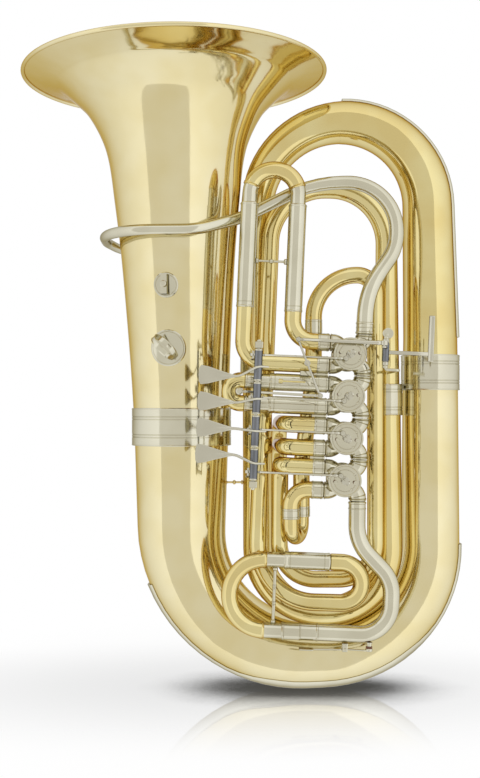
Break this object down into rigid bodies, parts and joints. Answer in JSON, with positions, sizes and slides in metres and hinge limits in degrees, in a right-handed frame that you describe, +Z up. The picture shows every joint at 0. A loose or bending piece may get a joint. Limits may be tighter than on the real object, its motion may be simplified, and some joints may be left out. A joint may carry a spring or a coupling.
{
  "type": "four-valve rotary tuba",
  "caption": "Bell-up B flat tuba in brass with nickel silver trim: rotary valves with finger levers, pull-out tuning slides, a slide trigger and a water key.",
  "frame": {"origin": "bottom centre of the whole horn's bounding box, in the plane of the bell's axis", "axes": "+Z up towards the bell, +X to the right of someone who faces the valves, +Y away from them"},
  "size_m": [0.652, 0.451, 0.917],
  "materials": {
    "brass": "polished and clear lacquered",
    "nickel_silver": "polished nickel silver",
    "steel": "bright steel",
    "spring_barrel": "blued steel",
    "cork": "matt cork"
  },
  "bodies": {
    "horn": {"first_slide_sleeves": "brass", "second_slide_sleeves": "brass", "third_slide_sleeves": "brass", "fourth_slide_sleeve": "brass", "fourth_loop": "brass", "bell": "brass", "bottom_bow": "brass", "outer_branch": "brass", "second_bow": "brass", "inner_branch": "brass", "lever_axle": "steel", "first_valve_casing": "nickel_silver", "second_valve_casing": "nickel_silver", "third_valve_casing": "nickel_silver", "fourth_valve_casing": "nickel_silver", "first_valve_cap": "nickel_silver", "second_valve_cap": "nickel_silver", "third_valve_cap": "nickel_silver", "fourth_valve_cap": "nickel_silver", "first_back_cap": "nickel_silver", "second_back_cap": "nickel_silver", "third_back_cap": "nickel_silver", "fourth_back_cap": "nickel_silver", "lever_frame": "nickel_silver", "outlet_tube": "nickel_silver", "tuning_slide_sleeve": "nickel_silver", "trigger_bracket": "nickel_silver", "water_key_saddle": "nickel_silver", "bell_ferrule": "nickel_silver", "outer_ferrule": "nickel_silver", "second_ferrule": "nickel_silver", "third_ferrule": "nickel_silver", "bow_guard": "nickel_silver", "branch_guard": "nickel_silver", "leadpipe": "nickel_silver", "mouthpiece_receiver": "nickel_silver", "lyre_holder": "nickel_silver", "strap_ring": "nickel_silver"},
    "first_key": {"first_lever": "steel"},
    "first_turning_rotor": {"first_rotor": "brass"},
    "first_link": {"first_rod": "steel"},
    "second_key": {"second_lever": "steel"},
    "second_turning_rotor": {"second_rotor": "brass"},
    "second_link": {"second_rod": "steel"},
    "third_key": {"third_lever": "steel"},
    "third_turning_rotor": {"third_rotor": "brass"},
    "third_link": {"third_rod": "steel"},
    "fourth_key": {"fourth_lever": "steel"},
    "fourth_turning_rotor": {"fourth_rotor": "brass"},
    "fourth_link": {"fourth_rod": "steel"},
    "trigger": {"trigger_lever": "steel"},
    "rocker": {"trigger_rocker": "steel"},
    "trigger_link": {"trigger_rod": "steel"},
    "push_link": {"slide_push_rod": "steel"},
    "second_tuning": {"second_slide": "nickel_silver"},
    "first_tuning": {"first_slide": "nickel_silver"},
    "third_tuning": {"third_slide": "nickel_silver"},
    "fourth_tuning": {"fourth_slide": "brass"},
    "main_tuning": {"tuning_slide": "brass"},
    "drain_key": {"water_key": "nickel_silver"}
  },
  "joints": [
    {"name": "first_lever_press", "type": "hinge", "parent": "horn", "child": "first_key", "pos_m": [0.02099, -0.156, 0.47335], "axis": [-0.0436, 0, -0.999], "range_deg": [0, 29.2], "stiffness_Nm_per_rad": 0.4, "springref_deg": -28.65},
    {"name": "first_rotor_turn", "type": "hinge", "parent": "horn", "child": "first_turning_rotor", "pos_m": [0.14884, -0.098, 0.49008], "axis": [0, -1, 0], "range_deg": [0, 90]},
    {"name": "first_rod_pivot", "type": "hinge", "parent": "first_turning_rotor", "child": "first_link", "pos_m": [0.14147, -0.13303, 0.48333], "axis": [0, 1, 0], "range_deg": [0, 90]},
    {"name": "second_lever_press", "type": "hinge", "parent": "horn", "child": "second_key", "pos_m": [0.01904, -0.156, 0.42879], "axis": [-0.0436, 0, -0.999], "range_deg": [0, 29.2], "stiffness_Nm_per_rad": 0.4, "springref_deg": -28.65},
    {"name": "second_rotor_turn", "type": "hinge", "parent": "horn", "child": "second_turning_rotor", "pos_m": [0.1463, -0.098, 0.43184], "axis": [0, -1, 0], "range_deg": [0, 90]},
    {"name": "second_rod_pivot", "type": "hinge", "parent": "second_turning_rotor", "child": "second_link", "pos_m": [0.13893, -0.13303, 0.42508], "axis": [0, 1, 0], "range_deg": [0, 90]},
    {"name": "third_lever_press", "type": "hinge", "parent": "horn", "child": "third_key", "pos_m": [0.0171, -0.156, 0.38423], "axis": [-0.0436, 0, -0.999], "range_deg": [0, 29.2], "stiffness_Nm_per_rad": 0.4, "springref_deg": -28.65},
    {"name": "third_rotor_turn", "type": "hinge", "parent": "horn", "child": "third_turning_rotor", "pos_m": [0.14375, -0.098, 0.3736], "axis": [0, 1, 0], "range_deg": [0, 90]},
    {"name": "third_rod_pivot", "type": "hinge", "parent": "third_turning_rotor", "child": "third_link", "pos_m": [0.137, -0.13303, 0.38097], "axis": [0, -1, 0], "range_deg": [0, 90]},
    {"name": "fourth_lever_press", "type": "hinge", "parent": "horn", "child": "fourth_key", "pos_m": [0.01515, -0.156, 0.33967], "axis": [-0.0436, 0, -0.999], "range_deg": [0, 29.2], "stiffness_Nm_per_rad": 0.4, "springref_deg": -28.65},
    {"name": "fourth_rotor_turn", "type": "hinge", "parent": "horn", "child": "fourth_turning_rotor", "pos_m": [0.14121, -0.098, 0.31535], "axis": [0, 1, 0], "range_deg": [0, 90]},
    {"name": "fourth_rod_pivot", "type": "hinge", "parent": "fourth_turning_rotor", "child": "fourth_link", "pos_m": [0.13446, -0.13303, 0.32272], "axis": [0, -1, 0], "range_deg": [0, 90]},
    {"name": "trigger_pull", "type": "hinge", "parent": "horn", "child": "trigger", "pos_m": [0.19698, -0.12313, 0.49232], "axis": [0.0436, 0, 0.999], "range_deg": [0, 27], "stiffness_Nm_per_rad": 0.5, "springref_deg": -22.92},
    {"name": "rocker_turn", "type": "hinge", "parent": "horn", "child": "rocker", "pos_m": [0.0882, -0.098, 0.47672], "axis": [0, 1, 0], "range_deg": [0, 18]},
    {"name": "trigger_rod_pivot", "type": "hinge", "parent": "rocker", "child": "trigger_link", "pos_m": [0.07584, -0.14452, 0.50882], "axis": [0, -1, 0], "range_deg": [0, 18]},
    {"name": "push_rod_pivot", "type": "hinge", "parent": "rocker", "child": "push_link", "pos_m": [0.10545, -0.14452, 0.43192], "axis": [0, -1, 0], "range_deg": [0, 16]},
    {"name": "second_slide_travel", "type": "slide", "parent": "horn", "child": "second_tuning", "axis": [-0.999, 0, 0.0436], "range_m": [0, 0.0145]},
    {"name": "first_slide_pull", "type": "slide", "parent": "horn", "child": "first_tuning", "axis": [0.0436, 0, 0.999], "range_m": [0, 0.1]},
    {"name": "third_slide_pull", "type": "slide", "parent": "horn", "child": "third_tuning", "axis": [-0.0436, 0, -0.999], "range_m": [0, 0.06]},
    {"name": "fourth_slide_pull", "type": "slide", "parent": "horn", "child": "fourth_tuning", "axis": [0, 0, -1], "range_m": [0, 0.008]},
    {"name": "main_slide_pull", "type": "slide", "parent": "horn", "child": "main_tuning", "axis": [-0.999, 0, 0.0436], "range_m": [0, 0.04]},
    {"name": "water_key_press", "type": "hinge", "parent": "horn", "child": "drain_key", "pos_m": [0.14286, -0.098, 0.07795], "axis": [0, 1, 0], "range_deg": [0, 9], "stiffness_Nm_per_rad": 0.4, "springref_deg": -17.19}
  ],
  "couplings": [
    {"joint": "first_rotor_turn", "follows": "first_lever_press", "ratio": 3.0769},
    {"joint": "first_rod_pivot", "follows": "first_lever_press", "ratio": 3.0769},
    {"joint": "second_rotor_turn", "follows": "second_lever_press", "ratio": 3.0769},
    {"joint": "second_rod_pivot", "follows": "second_lever_press", "ratio": 3.0769},
    {"joint": "third_rotor_turn", "follows": "third_lever_press", "ratio": 3.0769},
    {"joint": "third_rod_pivot", "follows": "third_lever_press", "ratio": 3.0769},
    {"joint": "fourth_rotor_turn", "follows": "fourth_lever_press", "ratio": 3.0769},
    {"joint": "fourth_rod_pivot", "follows": "fourth_lever_press", "ratio": 3.0769},
    {"joint": "rocker_turn", "follows": "trigger_pull", "ratio": 0.6578},
    {"joint": "trigger_rod_pivot", "follows": "trigger_pull", "ratio": 0.6578},
    {"joint": "push_rod_pivot", "follows": "trigger_pull", "ratio": 0.5894},
    {"joint": "second_slide_travel", "follows": "trigger_pull", "m_per_rad": 0.03047}
  ]
}
